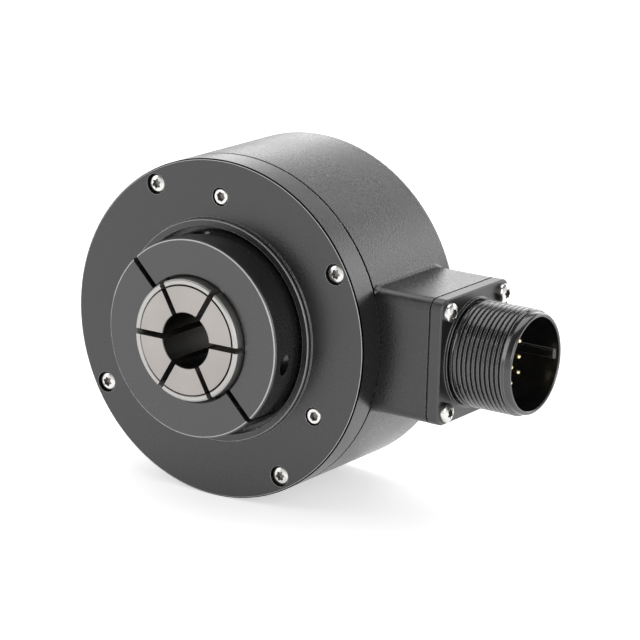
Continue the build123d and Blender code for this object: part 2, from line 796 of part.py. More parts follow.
def build_nodes():
    """Every piece by its node name."""
    return {
        "front_cover": make_front_cover(),
        "housing": make_housing(),
        "cover_screws": make_rim_screws(),
        "tether_screws": make_tether_screws(),
        "cover_seal": make_cover_seal(),
        "front_seal": make_front_seal(),
        "rear_seal": make_rear_seal(),
        "front_outer_race": make_outer_race(bearing_y),
        "rear_outer_race": make_outer_race(rear_bearing_y),
        "outer_spacer": make_outer_spacer(),
        "bearing_retainer": make_bearing_retainer(),
        "retainer_screws": make_retainer_screws(),
        "board_posts": make_board_posts(),
        "circuit_board": make_circuit_board(),
        "board_screws": make_board_screws(),
        "optical_head": make_optical_head(),
        "lamp": make_lamp(),
        "light_sensor": make_light_sensor(),
        "board_header": make_board_header(),
        "driver_chip": make_driver_chip(),
        "connector_gasket": make_connector_gasket(),
        "connector_shell": make_connector_shell(),
        "connector_insert": make_connector_insert(),
        "connector_pins": make_connector_pins(),
        "connector_screws": make_connector_screws(),
        "hollow_shaft": make_hollow_shaft(),
        "bore_insert": make_bore_insert(),
        "collar_head_half": make_collar_half(1),
        "collar_thread_half": make_collar_half(-1),
        "clamp_screws": make_clamp_screws(),
        "front_inner_race": make_inner_race(bearing_y),
        "rear_inner_race": make_inner_race(rear_bearing_y),
        "inner_spacer": make_inner_spacer(),
        "retaining_ring": make_retaining_ring(),
        "disc_hub": make_disc_hub(),
        "code_disc": make_code_disc(),
        "disc_clamp_ring": make_disc_clamp_ring(),
        "disc_screws": make_disc_screws(),
        "front_balls": make_balls(bearing_y),
        "front_cage": make_cage(bearing_y),
        "rear_balls": make_balls(rear_bearing_y),
        "rear_cage": make_cage(rear_bearing_y),
    }


os.makedirs("parts", exist_ok=True)
for name, shape in build_nodes().items():
    solids = shape if isinstance(shape, list) else [shape]
    export_step(Compound(children=solids), f"parts/{name}.step")
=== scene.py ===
import json
import math

import bmesh
import bpy
from mathutils import Matrix, Vector


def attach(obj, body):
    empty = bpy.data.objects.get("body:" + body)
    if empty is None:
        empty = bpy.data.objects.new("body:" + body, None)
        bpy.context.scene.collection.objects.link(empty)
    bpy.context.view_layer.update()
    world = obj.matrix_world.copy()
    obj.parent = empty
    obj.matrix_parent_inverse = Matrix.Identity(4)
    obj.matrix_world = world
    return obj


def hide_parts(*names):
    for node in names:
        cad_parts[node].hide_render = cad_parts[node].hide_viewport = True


# Looks of the encoder. Lengths of shapes are in millimetres and are turned into metres
# as the meshes are made. +Y runs into the housing, +X to the connector, +Z is up.
MM = 0.001

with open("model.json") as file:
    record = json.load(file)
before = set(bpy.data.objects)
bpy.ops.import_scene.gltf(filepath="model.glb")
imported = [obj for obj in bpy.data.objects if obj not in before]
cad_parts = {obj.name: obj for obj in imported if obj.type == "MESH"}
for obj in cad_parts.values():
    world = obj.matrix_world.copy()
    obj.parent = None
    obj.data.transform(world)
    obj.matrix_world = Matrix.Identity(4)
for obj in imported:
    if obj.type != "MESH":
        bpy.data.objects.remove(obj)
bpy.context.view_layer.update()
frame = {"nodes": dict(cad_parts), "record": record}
nodes = frame["nodes"]


# Camera: a turn and rise around the shaft axis, a small roll, and the picture point
# that the shaft axis meets at the cover's front face.
VIEW_TURN = 33.269
VIEW_RISE = 14.945
VIEW_ROLL = 1.76
FOCAL_PX = 3224.07
DISTANCE = 864.0
ORIGIN_PX = (217.314, 329.799)
FRAME_PX = 640.0
SENSOR_WIDTH = 36.0

# Room: the even light on the object, and what reflections see. They see a white
# backdrop up to BACKDROP_TOP (the sine of its elevation) and the ceiling from
# CEILING_START on. FLOOR_LIFT brings the floor nearer to white where it is seen.
WHITE = (1, 1, 1, 1)
ROOM_LIGHT = 0.45
BACKDROP_TOP = 0.22
CEILING_START = 0.6
CEILING_TONE = 0.2
FLOOR_TONE = (0.82, 0.82, 0.82, 1)
FLOOR_LIFT = 0.54
FLOOR_HALF_M = 6.0
FLOOR_Z = -46.5


def make_camera():
    turn = math.radians(VIEW_TURN)
    rise = math.radians(VIEW_RISE)
    roll = math.radians(VIEW_ROLL)
    flat = math.cos(rise)
    back = Vector((math.sin(turn) * flat, -math.cos(turn) * flat, math.sin(rise)))
    level = Vector((math.cos(turn), math.sin(turn), 0))
    up = back.cross(level)
    right = math.cos(roll) * level + math.sin(roll) * up
    top = -math.sin(roll) * level + math.cos(roll) * up
    x = (ORIGIN_PX[0] - FRAME_PX / 2) / FOCAL_PX * DISTANCE
    y = -(ORIGIN_PX[1] - FRAME_PX / 2) / FOCAL_PX * DISTANCE
    place = (DISTANCE * back - x * right - y * top) * MM
    data = bpy.data.cameras.new("camera")
    data.sensor_width = SENSOR_WIDTH
    data.lens = FOCAL_PX / FRAME_PX * SENSOR_WIDTH
    camera = bpy.data.objects.new("camera", data)
    axes = Matrix((right, top, back)).transposed().to_4x4()
    camera.matrix_world = Matrix.Translation(place) @ axes
    bpy.context.scene.collection.objects.link(camera)
    bpy.context.scene.camera = camera


def add_lamp(name, place, target, size, power):
    """Soft box: place, the point it faces and its size in metres, power in watts."""
    data = bpy.data.lights.new(name, "AREA")
    data.shape = "RECTANGLE"
    data.size, data.size_y = size
    data.energy = power
    lamp = bpy.data.objects.new(name, data)
    lamp.location = place
    aim = Vector(target) - Vector(place)
    lamp.rotation_euler = aim.to_track_quat("-Z", "Y").to_euler()
    bpy.context.scene.collection.objects.link(lamp)


# Shader nodes. Where a value is asked for, it may be a node's output or a constant.

def feed(tree, value, socket):
    if isinstance(value, bpy.types.NodeSocket):
        tree.links.new(value, socket)
    else:
        socket.default_value = value


def compute(tree, operation, first, second):
    node = tree.nodes.new("ShaderNodeMath")
    node.operation = operation
    feed(tree, first, node.inputs[0])
    feed(tree, second, node.inputs[1])
    return node.outputs[0]


def mix_colour(tree, share, first, second, blend="MIX"):
    node = tree.nodes.new("ShaderNodeMix")
    node.data_type = "RGBA"
    node.blend_type = blend
    feed(tree, share, node.inputs[0])
    feed(tree, first, node.inputs[6])
    feed(tree, second, node.inputs[7])
    return node.outputs[2]


def mix_shader(tree, share, first, second):
    node = tree.nodes.new("ShaderNodeMixShader")
    tree.links.new(share, node.inputs[0])
    tree.links.new(first.outputs[0], node.inputs[1])
    tree.links.new(second.outputs[0], node.inputs[2])
    return node


def background(tree, strength):
    node = tree.nodes.new("ShaderNodeBackground")
    node.inputs["Color"].default_value = WHITE
    feed(tree, strength, node.inputs["Strength"])
    return node


def ray_share(tree, kinds):
    """1 for rays of the named kinds, 0 for others."""
    path = tree.nodes.new("ShaderNodeLightPath")
    total = path.outputs[kinds[0]]
    for kind in kinds[1:]:
        total = compute(tree, "MAXIMUM", total, path.outputs[kind])
    return total


def noise(tree, vector, scale, detail, rough=0.5):
    node = tree.nodes.new("ShaderNodeTexNoise")
    node.inputs["Scale"].default_value = scale
    node.inputs["Detail"].default_value = detail
    node.inputs["Roughness"].default_value = rough
    tree.links.new(vector, node.inputs["Vector"])
    return node.outputs["Fac"]


def remap(tree, value, low, high, to_low, to_high):
    node = tree.nodes.new("ShaderNodeMapRange")
    node.inputs["From Min"].default_value = low
    node.inputs["From Max"].default_value = high
    node.inputs["To Min"].default_value = to_low
    node.inputs["To Max"].default_value = to_high
    tree.links.new(value, node.inputs["Value"])
    return node.outputs["Result"]


def bump(tree, height, depth, strength, normal):
    node = tree.nodes.new("ShaderNodeBump")
    node.inputs["Strength"].default_value = strength
    node.inputs["Distance"].default_value = depth
    tree.links.new(height, node.inputs["Height"])
    if normal is not None:
        tree.links.new(normal, node.inputs["Normal"])
    return node.outputs["Normal"]


def make_world():
    """Soft even light. The camera and reflections see a white backdrop; overhead, where
    no backdrop hangs, reflections fall off to the room's ceiling."""
    world = bpy.data.worlds.new("studio")
    bpy.context.scene.world = world
    world.use_nodes = True
    tree = world.node_tree
    tree.nodes.clear()
    output = tree.nodes.new("ShaderNodeOutputWorld")
    split = tree.nodes.new("ShaderNodeSeparateXYZ")
    tree.links.new(tree.nodes.new("ShaderNodeTexCoord").outputs["Generated"], split.inputs[0])
    falloff = remap(tree, split.outputs["Z"], BACKDROP_TOP, CEILING_START, 1.0, CEILING_TONE)
    mirrored = background(tree, falloff)
    lit = mix_shader(tree, ray_share(tree, ["Is Glossy Ray"]),
                     background(tree, ROOM_LIGHT), mirrored)
    seen = ray_share(tree, ["Is Camera Ray", "Is Transmission Ray"])
    final = mix_shader(tree, seen, lit, background(tree, 1.0))
    tree.links.new(final.outputs[0], output.inputs["Surface"])


def make_floor():
    corners = [(x * FLOOR_HALF_M, y * FLOOR_HALF_M, FLOOR_Z * MM)
               for x, y in ((-1, -1), (1, -1), (1, 1), (-1, 1))]
    mesh = bpy.data.meshes.new("floor")
    mesh.from_pydata(corners, [], [(0, 1, 2, 3)])
    floor = bpy.data.objects.new("floor", mesh)
    bpy.context.scene.collection.objects.link(floor)
    material = bpy.data.materials.new("floor_white")
    material.use_nodes = True
    tree = material.node_tree
    tree.nodes.clear()
    output = tree.nodes.new("ShaderNodeOutputMaterial")
    diffuse = tree.nodes.new("ShaderNodeBsdfDiffuse")
    diffuse.inputs["Color"].default_value = FLOOR_TONE
    glow = tree.nodes.new("ShaderNodeEmission")
    glow.inputs["Color"].default_value = WHITE
    seen = ray_share(tree, ["Is Camera Ray", "Is Transmission Ray", "Is Glossy Ray"])
    tree.links.new(compute(tree, "MULTIPLY", seen, FLOOR_LIFT), glow.inputs["Strength"])
    add = tree.nodes.new("ShaderNodeAddShader")
    tree.links.new(diffuse.outputs[0], add.inputs[0])
    tree.links.new(glow.outputs[0], add.inputs[1])
    tree.links.new(add.outputs[0], output.inputs["Surface"])
    mesh.materials.append(material)


# Surfaces. The noise scales are per metre: the broad one varies the tone, and both vary
# the gloss, each over the range in which the noise mostly lies. BAND_FADE is how far a
# band fades out, in millimetres.
BROAD_SCALE = 60.0
BROAD_DETAIL = 4.0
FINE_SCALE = 1800.0
FINE_DETAIL = 2.0
TONE_RANGE = (0.3, 0.7)
GLOSS_RANGE = (0.6, 1.4)
GRAIN_DETAIL = 2.5
GRAIN_ROUGHNESS = 0.6
RING_DETAIL = 2.0
BEVEL_SAMPLES = 16
# Painted edge highlights grow as the cosine between rounded and true normal falls to this
HIGHLIGHT_COSINE = 0.75
BAND_FADE = 0.03
# Painted shade: the black of a shaded band
SHADE_BLACK = (0.0005, 0.0005, 0.0005, 1)
GLASS_CLEARNESS = 0.85

# Bands around the shaft's axis: from and to radius, from and to Y. COVER_CORNER,
# RAISED_RING_EDGE, RECESS_EDGE and COLLAR_EDGE are painted highlights on edges;
# COVER_CHAMFER and HOUSING_SEAM are painted black as shade.
COVER_CORNER = (46.07, 46.18, -0.1, 0.1)
COVER_CHAMFER = (46.22, 46.6, 0.1, 0.5)
RAISED_RING_EDGE = (30.2, 30.38, -1.8, -1.6)
RECESS_EDGE = (28.4, 28.7, -1.8, -1.4)
COLLAR_EDGE = (26.6, 26.85, -12.05, -11.7)
HOUSING_SEAM = (45.0, 46.6, 8.3, 9.15)

# Painted shade on the sleeve, falling in its bore and on its outside: start radius,
# end radius, share that is left
SLEEVE_BORE = (7.8, 7.6, 0.13)
SLEEVE_OUTSIDE = (14.7, 14.8, 0.02)


def shade(tree, value, colour, spread):
    """Base colour that varies a little around the written one."""
    dark = [max(0.0, c * (1 - spread)) for c in colour]
    light = [min(1.0, c * (1 + spread)) for c in colour]
    return mix_colour(tree, value, (*dark, 1), (*light, 1))


def edge_highlight(tree, tone, rounding, highlight_colour, gain):
    """Painted highlight: a lighter tone on edges, found where a rounded normal leaves the true
    one.
    """
    bevel = tree.nodes.new("ShaderNodeBevel")
    bevel.samples = BEVEL_SAMPLES
    bevel.inputs["Radius"].default_value = rounding * MM
    geometry = tree.nodes.new("ShaderNodeNewGeometry")
    dot = tree.nodes.new("ShaderNodeVectorMath")
    dot.operation = "DOT_PRODUCT"
    tree.links.new(bevel.outputs[0], dot.inputs[0])
    tree.links.new(geometry.outputs["Normal"], dot.inputs[1])
    amount = remap(tree, dot.outputs["Value"], 1.0, HIGHLIGHT_COSINE, 0.0, gain)
    return mix_colour(tree, amount, tone, (*highlight_colour, 1)), bevel.outputs[0]


def shaft_place(tree, place):
    """Distance from the shaft's axis, and the place along it."""
    flat = tree.nodes.new("ShaderNodeVectorMath")
    flat.operation = "MULTIPLY"
    flat.inputs[1].default_value = (1, 0, 1)
    tree.links.new(place, flat.inputs[0])
    length = tree.nodes.new("ShaderNodeVectorMath")
    length.operation = "LENGTH"
    tree.links.new(flat.outputs[0], length.inputs[0])
    split = tree.nodes.new("ShaderNodeSeparateXYZ")
    tree.links.new(place, split.inputs[0])
    return length.outputs["Value"], split.outputs["Y"]


def shade_past_radius(tree, tone, radius, fall):
    """Painted shade: tone that falls to a share of itself past a radius."""
    start, end, left = fall
    share = remap(tree, radius, start * MM, end * MM, 1.0, left)
    grey = tree.nodes.new("ShaderNodeCombineColor")
    for socket in grey.inputs[:3]:
        tree.links.new(share, socket)
    return mix_colour(tree, 1.0, tone, grey.outputs[0], "MULTIPLY")


def within(tree, value, low, high):
    """1 between two places, falling to 0 just outside them."""
    rise = remap(tree, value, (low - BAND_FADE) * MM, low * MM, 0.0, 1.0)
    fall = remap(tree, value, high * MM, (high + BAND_FADE) * MM, 1.0, 0.0)
    return compute(tree, "MULTIPLY", rise, fall)


def band_share(tree, radius, along, band):
    """1 in a band around the axis, 0 outside it."""
    across = within(tree, radius, *band[:2])
    return compute(tree, "MULTIPLY", across, within(tree, along, *band[2:]))


def lathe_rings(tree, radius, along, per_mm):
    """Random fine rings around the shaft's axis, on faces and on walls."""
    rings = tree.nodes.new("ShaderNodeTexNoise")
    rings.noise_dimensions = "1D"
    rings.inputs["Scale"].default_value = 1.0
    rings.inputs["Detail"].default_value = RING_DETAIL
    path = compute(tree, "ADD", radius, along)
    tree.links.new(compute(tree, "MULTIPLY", path, per_mm / MM), rings.inputs["W"])
    return rings.outputs["Fac"]


def make_material(name, colour, rough, metallic=0.0, spread=0.06, rough_spread=0.04,
                  grain=None, turned=None, edges=None, specular=0.5, dark=(), bare=(),
                  seam=None):
    """One surface. grain is (size mm, depth mm, strength); turned is (rings per mm, depth
    mm); edges is (rounding mm, colour, gain) of a painted edge highlight; dark is the falls
    of darkened(), painted shade; bare is pairs of a band and its painted highlight's
    colour; seam is a band painted black as shade."""
    material = bpy.data.materials.new(name)
    material.use_nodes = True
    tree = material.node_tree
    shader = tree.nodes["Principled BSDF"]
    shader.inputs["Metallic"].default_value = metallic
    shader.inputs["Specular IOR Level"].default_value = specular
    place = tree.nodes.new("ShaderNodeTexCoord").outputs["Object"]
    broad = noise(tree, place, BROAD_SCALE, BROAD_DETAIL)
    tone = shade(tree, remap(tree, broad, *TONE_RANGE, 0.0, 1.0), colour, spread)
    both = compute(tree, "ADD", broad, noise(tree, place, FINE_SCALE, FINE_DETAIL))
    roughness = remap(tree, both, *GLOSS_RANGE, rough - rough_spread, rough + rough_spread)
    normal = None
    if dark or bare or turned or seam:
        radius, along = shaft_place(tree, place)
    # Painted shade: the tone falls past a radius
    for fall in dark:
        tone = shade_past_radius(tree, tone, radius, fall)
    # Painted highlights: light colours in bands on edges and chamfers
    for band, highlight_tone in bare:
        tone = mix_colour(tree, band_share(tree, radius, along, band), tone, (*highlight_tone, 1))
    # Painted highlight on the edges
    if edges:
        tone, normal = edge_highlight(tree, tone, *edges)
    if turned:
        per_mm, depth = turned
        rings = lathe_rings(tree, radius, along, per_mm)
        normal = bump(tree, rings, depth * MM, 1.0, normal)
    # Painted shade: black, fully rough and metallic, the band reflects almost nothing
    if seam:
        share = band_share(tree, radius, along, seam)
        tone = mix_colour(tree, share, tone, SHADE_BLACK)
        roughness = compute(tree, "MAXIMUM", roughness, share)
        tree.links.new(share, shader.inputs["Metallic"])
    if grain:
        size, depth, strength = grain
        height = noise(tree, place, 1 / (size * MM), GRAIN_DETAIL, GRAIN_ROUGHNESS)
        normal = bump(tree, height, depth * MM, strength, normal)
    tree.links.new(tone, shader.inputs["Base Color"])
    tree.links.new(roughness, shader.inputs["Roughness"])
    if normal is not None:
        tree.links.new(normal, shader.inputs["Normal"])
    return material


def make_materials():
    """The material of each slot."""
    make = make_material
    return {
        # Painted light in the coats: the light edges and light bands are painted highlights, the
        # black band is painted shade
        "cover_black": make(
            "cover_coat", (0.01, 0.01, 0.0105), 0.29, grain=(0.5, 0.06, 0.7),
            edges=(0.09, (0.85, 0.85, 0.86), 3.0), specular=0.82,
            bare=((COVER_CORNER, (0.5, 0.5, 0.505)), (RAISED_RING_EDGE, (0.3, 0.3, 0.305)),
                  (RECESS_EDGE, (0.2, 0.2, 0.205))),
            seam=COVER_CHAMFER),
        "housing_black": make(
            "housing_coat", (0.009, 0.009, 0.0095), 0.28, grain=(0.5, 0.1, 0.8),
            edges=(0.08, (0.5, 0.5, 0.505), 1.5), specular=0.76, seam=HOUSING_SEAM),
        "collar_black": make(
            "collar_anodised", (0.014, 0.014, 0.015), 0.27, spread=0.03, rough_spread=0.008,
            grain=(0.8, 0.004, 0.1), specular=1.0, bare=((COLLAR_EDGE, (0.55, 0.55, 0.555)),)),
        "shell_black": make(
            "connector_anodised", (0.006, 0.006, 0.0063), 0.19, spread=0.1,
            grain=(0.4, 0.01, 0.1), edges=(0.08, (0.8, 0.8, 0.81), 2.0), specular=1.0),
        "stainless": make(
            "stainless", (0.46, 0.45, 0.435), 0.45, 1.0, spread=0.05, turned=(1.2, 0.05)),
        # The sleeve's bore and outside are darkened as painted shade
        "insert_metal": make(
            "insert_steel", (0.37, 0.347, 0.33), 0.36, 1.0, spread=0.08, turned=(1.5, 0.01),
            dark=(SLEEVE_BORE, SLEEVE_OUTSIDE)),
        "bearing_steel": make("bearing_steel", (0.6, 0.6, 0.61), 0.16, 1.0, turned=(8.0, 0.001)),
        "bare_aluminium": make("aluminium", (0.7, 0.7, 0.71), 0.33, 1.0, turned=(5.0, 0.003)),
        "seal_rubber": make("seal_rubber", (0.03, 0.03, 0.03), 0.62, grain=(0.3, 0.02, 0.3)),
        "insert_black": make("insert_moulded", (0.02, 0.02, 0.021), 0.45, grain=(0.5, 0.01, 0.3)),
        "part_plastic": make("part_moulded", (0.05, 0.05, 0.055), 0.42, grain=(0.4, 0.02, 0.3)),
        "contact_gold": make("contact_gold", (0.83, 0.72, 0.45), 0.18, 1.0, spread=0.04),
        "board_green": make("board_mask", (0.03, 0.2, 0.08), 0.3, grain=(1.2, 0.02, 0.2)),
        "disc_glass": make_glass(),
    }


def make_glass():
    material = make_material("disc_glass", (0.8, 0.85, 0.86), 0.05, spread=0.02)
    shader = material.node_tree.nodes["Principled BSDF"]
    shader.inputs["Transmission Weight"].default_value = GLASS_CLEARNESS
    return material


# Meshes: how near points are joined and faces told apart, in metres, and from how many
# degrees on the edges of domed screws, of flat-headed screws, of the connector and of
# its contacts are sharp
JOIN_M = 1e-7
DEGENERATE_M = 1e-8
SLACK_M = 1e-6
SHARP = 35.0
FLAT_HEAD_SHARP = 25.0
SHELL_SHARP = 28.0
PIN_SHARP = 40.0


def mesh_piece(name, grids, material, body, sharp=SHARP, recess=None):
    """Object from grids of points: rows of equal length, closed around by repeating the
    first point, with None for no cap or a point that closes the last row. recess is the
    material of each grid's last band and cap; the screws' is a darker steel, painted shade
    in their recesses."""
    vertices = []
    faces = []
    inner = []
    for rows, cap in grids:
        start = len(vertices)
        count = len(rows[0])
        for row in rows:
            vertices += [point * MM for point in row]
        for r in range(len(rows) - 1):
            for c in range(count - 1):
                a = start + r * count + c
                faces.append((a, a + 1, a + count + 1, a + count))
                inner.append(r == len(rows) - 2)
        if cap is not None:
            vertices.append(cap * MM)
            last = start + (len(rows) - 1) * count
            faces += [(last + c, last + c + 1, len(vertices) - 1) for c in range(count - 1)]
            inner += [True] * (count - 1)
    mesh = bpy.data.meshes.new(name)
    mesh.from_pydata(vertices, [], faces)
    mesh.materials.append(material)
    if recess:
        mesh.materials.append(recess)
        for polygon, inside in zip(mesh.polygons, inner):
            polygon.material_index = int(inside)
    weld(mesh)
    for polygon in mesh.polygons:
        polygon.use_smooth = True
    mesh.set_sharp_from_angle(angle=math.radians(sharp))
    piece = bpy.data.objects.new(name, mesh)
    bpy.context.scene.collection.objects.link(piece)
    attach(piece, body)
    return piece


def weld(mesh):
    """Join doubled points and turn every face outwards."""
    work = bmesh.new()
    work.from_mesh(mesh)
    bmesh.ops.remove_doubles(work, verts=work.verts, dist=JOIN_M)
    bmesh.ops.dissolve_degenerate(work, dist=DEGENERATE_M, edges=work.edges)
    bmesh.ops.recalc_face_normals(work, faces=work.faces)
    work.to_mesh(mesh)
    work.free()


def turns(count):
    """Angles once around, the first repeated at the end."""
    return [2 * math.pi * i / count for i in range(count + 1)]


def torx(radius, angle):
    """Six-lobed recess outline, radius out to its lobes."""
    return radius * (1 - LOBE_DEPTH + LOBE_DEPTH * math.cos(6 * angle))


def hexagon(across, angle):
    """Hexagonal recess outline, across its flats."""
    part = (angle + math.pi / 6) % (math.pi / 3) - math.pi / 6
    return across / 2 / math.cos(part)


# Screws: head, shank and recess; a crown is the dome's height, a flat edge the chamfer
# of a plain head. Below are the places of their seats, and the turns of their recesses
# from one screw to the next, in radians.
COVER_SCREW = dict(head_d=5.2, head_h=1.9, shank_d=2.6, grip=11.7,
                   recess=torx, recess_size=1.32, depth=1.2, crown=0.95)
TETHER_SCREW = dict(head_d=4.6, head_h=2.4, shank_d=2.8, grip=5.4,
                    recess=hexagon, recess_size=2.2, depth=1.4, flat_edge=0.35)
CONNECTOR_SCREW = dict(head_d=5.1, head_h=2.0, shank_d=2.6, grip=9.8,
                       recess=torx, recess_size=1.3, depth=1.2, crown=1.1)
CLAMP_SCREW = dict(head_d=3.3, head_h=2.0, shank_d=2.0, grip=17.0,
                   recess=hexagon, recess_size=1.7, depth=1.1, flat_edge=0.3)
COVER_SCREW_R = 42.6
COVER_SCREW_Y = 2.1
COVER_SCREW_DEGREES = (30, 120, 210, 300)
COVER_SCREW_TURN = 0.4
TETHER_SCREW_R = 36.5
TETHER_SCREW_Y = 2.6
TETHER_SCREW_DEGREES = (90, -30)
TETHER_SCREW_FIRST = 0.3
TETHER_SCREW_TURN = 0.5
CONNECTOR_HOLES = 26.97
CONNECTOR_CORNERS = ((-1, -1), (-1, 1), (1, -1), (1, 1))
CONNECTOR_SCREW_TURN = 0.5
COLLAR_SPLIT = 135
CLAMP_Y = -5.8
CLAMP_OFFSET = 21.3
CLAMP_STAGGER = 1.8
CLAMP_SEAT = 7.5

# What all screws share: the shank's end, the broken edge under the head, the dome's
# fullness and rows, and the recess's own edge, taper and point
SCREW_SIDES = 72
CENTRE_R = 0.001
SHANK_BREAK = 0.3
HEAD_BREAK = 0.05
DOME_FULLNESS = 0.96
DOME_ROWS = 8
DOME_STEP = 0.06
RECESS_FLARE = 1.09
RECESS_BREAK = 0.07
RECESS_TAPER = 0.96
RECESS_POINT = 0.25
LOBE_DEPTH = 0.14


def screw_rings(matrix, head_d, head_h, shank_d, grip, recess, recess_size, depth,
                crown=0.0, flat_edge=0.0):
    """Grid of one screw, its seat plane at zero and its head towards local +Z."""
    angles = turns(SCREW_SIDES)
    head_r = head_d / 2
    shank_r = shank_d / 2

    def point_at(radius, angle, height):
        return matrix @ Vector((radius * math.cos(angle), radius * math.sin(angle), height))

    def ring_at(radius, height):
        return [point_at(radius, a, height) for a in angles]

    def top_height(radius):
        share = min(1.0, radius / head_r)
        return head_h - crown * (1 - math.sqrt(max(0.0, 1 - share ** 2 * DOME_FULLNESS)))

    rows = [ring_at(CENTRE_R, -grip), ring_at(shank_r - SHANK_BREAK, -grip),
            ring_at(shank_r, SHANK_BREAK - grip), ring_at(shank_r, 0),
            ring_at(head_r - HEAD_BREAK, 0), ring_at(head_r, HEAD_BREAK)]
    if crown > 0:
        for step in range(DOME_ROWS):
            radius = head_r * (1 - DOME_STEP * step)
            rows.append(ring_at(radius, top_height(radius)))
    else:
        rows.append(ring_at(head_r, head_h - flat_edge))
        rows.append(ring_at(head_r - flat_edge, head_h))

    def recess_row(scale, drop):
        edge = [recess(recess_size, a) for a in angles]
        return [point_at(r * scale, a, top_height(r) - drop) for a, r in zip(angles, edge)]

    rows += [recess_row(RECESS_FLARE, 0.0), recess_row(1.0, RECESS_BREAK),
             recess_row(RECESS_TAPER, depth)]
    return rows, matrix @ Vector((0, 0, head_h - depth - RECESS_POINT))


def facing(axis, place, spin):
    """Local +Z turned a quarter around an axis: "X" turns it to -Y, "Y" to +X."""
    quarter = Matrix.Rotation(math.radians(90), 4, axis)
    return Matrix.Translation(place) @ quarter @ Matrix.Rotation(spin, 4, "Z")


def on_cover(radius, y, degrees, spin):
    """Seat of a screw in the cover, its head to the front."""
    angle = math.radians(degrees)
    return facing("X", (radius * math.cos(angle), y, radius * math.sin(angle)), spin)


def make_cover_screws(material, recess):
    grids = []
    for i, degrees in enumerate(COVER_SCREW_DEGREES):
        matrix = on_cover(COVER_SCREW_R, COVER_SCREW_Y, degrees, COVER_SCREW_TURN * i)
        grids.append(screw_rings(matrix, **COVER_SCREW))
    piece = mesh_piece("cover_screw_set", grids, material, "casing", recess=recess)
    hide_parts("cover_screws")


def make_tether_screws(material, recess):
    grids = []
    for i, degrees in enumerate(TETHER_SCREW_DEGREES):
        spin = TETHER_SCREW_FIRST + TETHER_SCREW_TURN * i
        matrix = on_cover(TETHER_SCREW_R, TETHER_SCREW_Y, degrees, spin)
        grids.append(screw_rings(matrix, **TETHER_SCREW))
    piece = mesh_piece("tether_screw_set", grids, material, "casing", FLAT_HEAD_SHARP, recess)
    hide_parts("tether_screws")


def make_connector_screws(material, recess):
    grids = []
    half = CONNECTOR_HOLES / 2
    for i, (sy, sz) in enumerate(CONNECTOR_CORNERS):
        place = (PLATE_FACE, CONNECTOR_Y + sy * half, sz * half)
        matrix = facing("Y", place, CONNECTOR_SCREW_TURN * i)
        grids.append(screw_rings(matrix, **CONNECTOR_SCREW))
    piece = mesh_piece("connector_screw_set", grids, material, "casing", recess=recess)
    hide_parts("connector_screws")


def make_clamp_screws(material, recess):
    """The two screws point the same way across the collar's split."""
    grids = []
    split = math.radians(COLLAR_SPLIT)
    along = Vector((math.cos(split), 0, math.sin(split)))
    across = Vector((math.sin(split), 0, -math.cos(split)))
    axes = Matrix((along, across.cross(along), across)).transposed().to_4x4()
    for side in (-1, 1):
        seat = along * side * CLAMP_OFFSET + across * CLAMP_SEAT
        seat += Vector((0, CLAMP_Y + side * CLAMP_STAGGER, 0))
        grids.append(screw_rings(Matrix.Translation(seat) @ axes, **CLAMP_SCREW))
    piece = mesh_piece("clamp_screw_set", grids, material, "rotor", FLAT_HEAD_SHARP, recess)
    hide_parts("clamp_screws")


# Connector: its axis lies along X at CONNECTOR_Y. The thread's profile is pairs of a share
# of the pitch and 1 on the crest or 0 at the root.
CONNECTOR_Y = 25.4
PLATE_HALF = 17.0
PLATE_ROUND = 3.0
PLATE_BREAK = 0.3
PLATE_BACK = 61.6
PLATE_FACE = 64.8
THREAD_PITCH = 25.4 / 18
THREAD_START = 66.2
THREAD_END = 82.0
THREAD_R = 14.2875
THREAD_DEPTH = 0.62
THREAD_RUN_IN = 0.4
THREAD_RUN_OUT = 0.5
THREAD_PROFILE = ((0.05, 0), (0.3, 1), (0.7, 1), (0.95, 0))
MOUTH_X = 83.8
SHELL_SIDES = 144
CORNER_STEPS = 10

# Key in the socket: its outline as Y from the connector's axis and Z, and its ends. The
# front end is rounded: lower and narrower, and closed by a point.
KEY_OUTLINE = ((12.7, -1.3), (11.9, -1.3), (11.65, -1.05), (11.6, 0), (11.65, 1.05),
               (11.9, 1.3), (12.7, 1.3), (12.7, -1.3))
KEY_START = 67.2
KEY_END = 82.6
KEY_BREAK = 0.3
KEY_END_TOP = 12.0
KEY_END_WIDTH = 0.85
KEY_END_POINT = 12.4

# Contacts: how many stand in each column, their spacing and their round shape
PIN_COLUMNS = (3, 4, 3)
PIN_COLUMN_GAP = 3.8
PIN_GAP = 4.3
PIN_R = 0.8
PIN_START = 51.8
PIN_DOME = 76.2
PIN_SIDES = 24
PIN_DOME_STEPS = 8


def plate_radius(angle, inset=0.0):
    """Distance from the middle to the rounded square's outline."""
    half = PLATE_HALF - inset
    rounding = PLATE_ROUND - inset
    c = abs(math.cos(angle))
    s = abs(math.sin(angle))
    reach = half / max(c, s)
    middle = half - rounding
    if min(c, s) * reach <= middle:
        return reach
    b = middle * (c + s)
    return b + math.sqrt(max(0.0, b * b - 2 * middle * middle + rounding * rounding))


def plate_front(angle):
    return plate_radius(angle, PLATE_BREAK)


